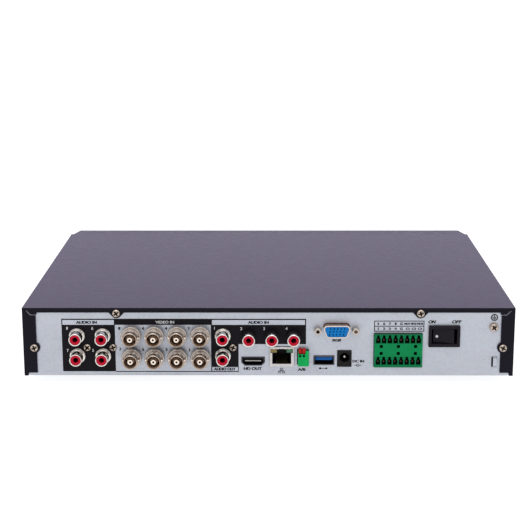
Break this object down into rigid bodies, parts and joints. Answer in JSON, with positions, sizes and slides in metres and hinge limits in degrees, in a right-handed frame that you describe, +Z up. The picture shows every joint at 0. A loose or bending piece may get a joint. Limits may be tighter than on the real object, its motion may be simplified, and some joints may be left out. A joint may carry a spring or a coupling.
{
  "type": "digital video recorder",
  "caption": "Slim sheet-metal video recorder with a black cover, plastic front bezel, bare steel rear panel of video, audio, data and alarm connectors, and a rocker power switch.",
  "frame": {"origin": "on the floor under the middle of the whole object's box", "axes": "+Z up, -Y towards the front bezel, +Y towards the connector panel, X along the case's width"},
  "size_m": [0.325, 0.257, 0.0535],
  "materials": {
    "galvanised_steel": "zinc-coated sheet with a fine spangle, satin",
    "black_coated_steel": "fine black powder coat",
    "bezel_plastic": "fine texture",
    "clear_plastic": "clear, frosted tips",
    "dark_window": "dark red, see-through to infrared",
    "foot_rubber": "matt",
    "screw_nickel": "nickel plated",
    "circuit_board": "solder mask",
    "chip_black": "moulded",
    "brass": "turned",
    "heatsink_aluminium": "extruded, anodised",
    "capacitor_sleeve": "shrink sleeve",
    "relay_plastic": "moulded",
    "nickel": "nickel plated, turned",
    "black_plastic": "moulded",
    "cream_plastic": "moulded",
    "contact_gold": "gold flash",
    "contact_tin": "tin plated",
    "red_plastic": "moulded",
    "blue_plastic": "moulded",
    "light_lens": "clear lens, one yellow and one green",
    "green_plastic": "moulded",
    "switch_plastic": "moulded, half gloss",
    "cast_aluminium": "cast and machined",
    "brushed_lid": "brushed stainless",
    "mirror_disk": "polished",
    "red_sleeve": "flexible sleeve",
    "ribbon_grey": "flat ribbon cable"
  },
  "bodies": {
    "chassis": {"base_tray": "galvanised_steel", "top_cover": "black_coated_steel", "front_bezel": "bezel_plastic", "light_guides": "clear_plastic", "ir_window": "dark_window", "rubber_feet": "foot_rubber", "cover_screws": "screw_nickel", "panel_screws": "screw_nickel", "front_board": "circuit_board", "front_board_parts": "chip_black", "front_usb_shell": "contact_tin", "front_usb_tongue": "black_plastic", "main_board": "circuit_board", "board_standoffs": "brass", "board_screws": "screw_nickel", "processor": "chip_black", "heatsink": "heatsink_aluminium", "board_chips": "chip_black", "capacitors": "capacitor_sleeve", "alarm_relays": "relay_plastic", "clock_battery": "nickel", "battery_clip": "black_plastic", "board_sockets": "cream_plastic", "bnc_housings": "black_plastic", "bnc_shells": "nickel", "bnc_insulators": "cream_plastic", "bnc_contacts": "contact_gold", "rca_housings": "black_plastic", "rca_shells": "nickel", "rca_insulators": "red_plastic", "rca_contacts": "contact_tin", "vga_shell": "contact_tin", "vga_insulator": "blue_plastic", "vga_jackscrews": "nickel", "hdmi_shell": "contact_tin", "hdmi_tongue": "black_plastic", "lan_shield": "contact_tin", "lan_insert": "black_plastic", "lan_contacts": "contact_gold", "lan_lights": "light_lens", "rs485_body": "green_plastic", "usb_shell": "contact_tin", "usb_tongue": "blue_plastic", "dc_jack_body": "black_plastic", "dc_jack_pin": "contact_tin", "alarm_header": "green_plastic", "alarm_header_pins": "contact_tin", "switch_housing": "switch_plastic", "hdd_case": "cast_aluminium", "hdd_lid": "brushed_lid", "hdd_board": "circuit_board", "hdd_screws": "screw_nickel", "disk_cables": "red_sleeve", "cable_plugs": "black_plastic", "front_cable": "ribbon_grey"},
    "rocker": {"switch_rocker": "switch_plastic"},
    "lever_a": {"rs485_lever_a": "red_plastic"},
    "lever_b": {"rs485_lever_b": "red_plastic"},
    "disk_stack": {"hdd_platters": "mirror_disk"},
    "disk_arm": {"hdd_actuator": "cast_aluminium"}
  },
  "joints": [
    {"name": "power_rocker", "type": "hinge", "parent": "chassis", "child": "rocker", "pos_m": [-0.11625, 0.1128, 0.03415], "axis": [0, 0, 1], "range_deg": [0, 24]},
    {"name": "lever_a_press", "type": "hinge", "parent": "chassis", "child": "lever_a", "pos_m": [-0.021, 0.1103, 0.0237], "axis": [-1, 0, 0], "range_deg": [0, 11], "stiffness_Nm_per_rad": 0.02, "springref_deg": -20.05},
    {"name": "lever_b_press", "type": "hinge", "parent": "chassis", "child": "lever_b", "pos_m": [-0.0235, 0.1103, 0.0237], "axis": [-1, 0, 0], "range_deg": [0, 11], "stiffness_Nm_per_rad": 0.02, "springref_deg": -20.05},
    {"name": "disk_spin", "type": "hinge", "parent": "chassis", "child": "disk_stack", "pos_m": [-0.1012, -0.0534, 0.0202], "axis": [0, 0, 1], "continuous": true},
    {"name": "disk_arm_swing", "type": "hinge", "parent": "chassis", "child": "disk_arm", "pos_m": [-0.0452, -0.0754, 0.0222], "axis": [0, 0, 1], "range_deg": [0, 28]}
  ]
}
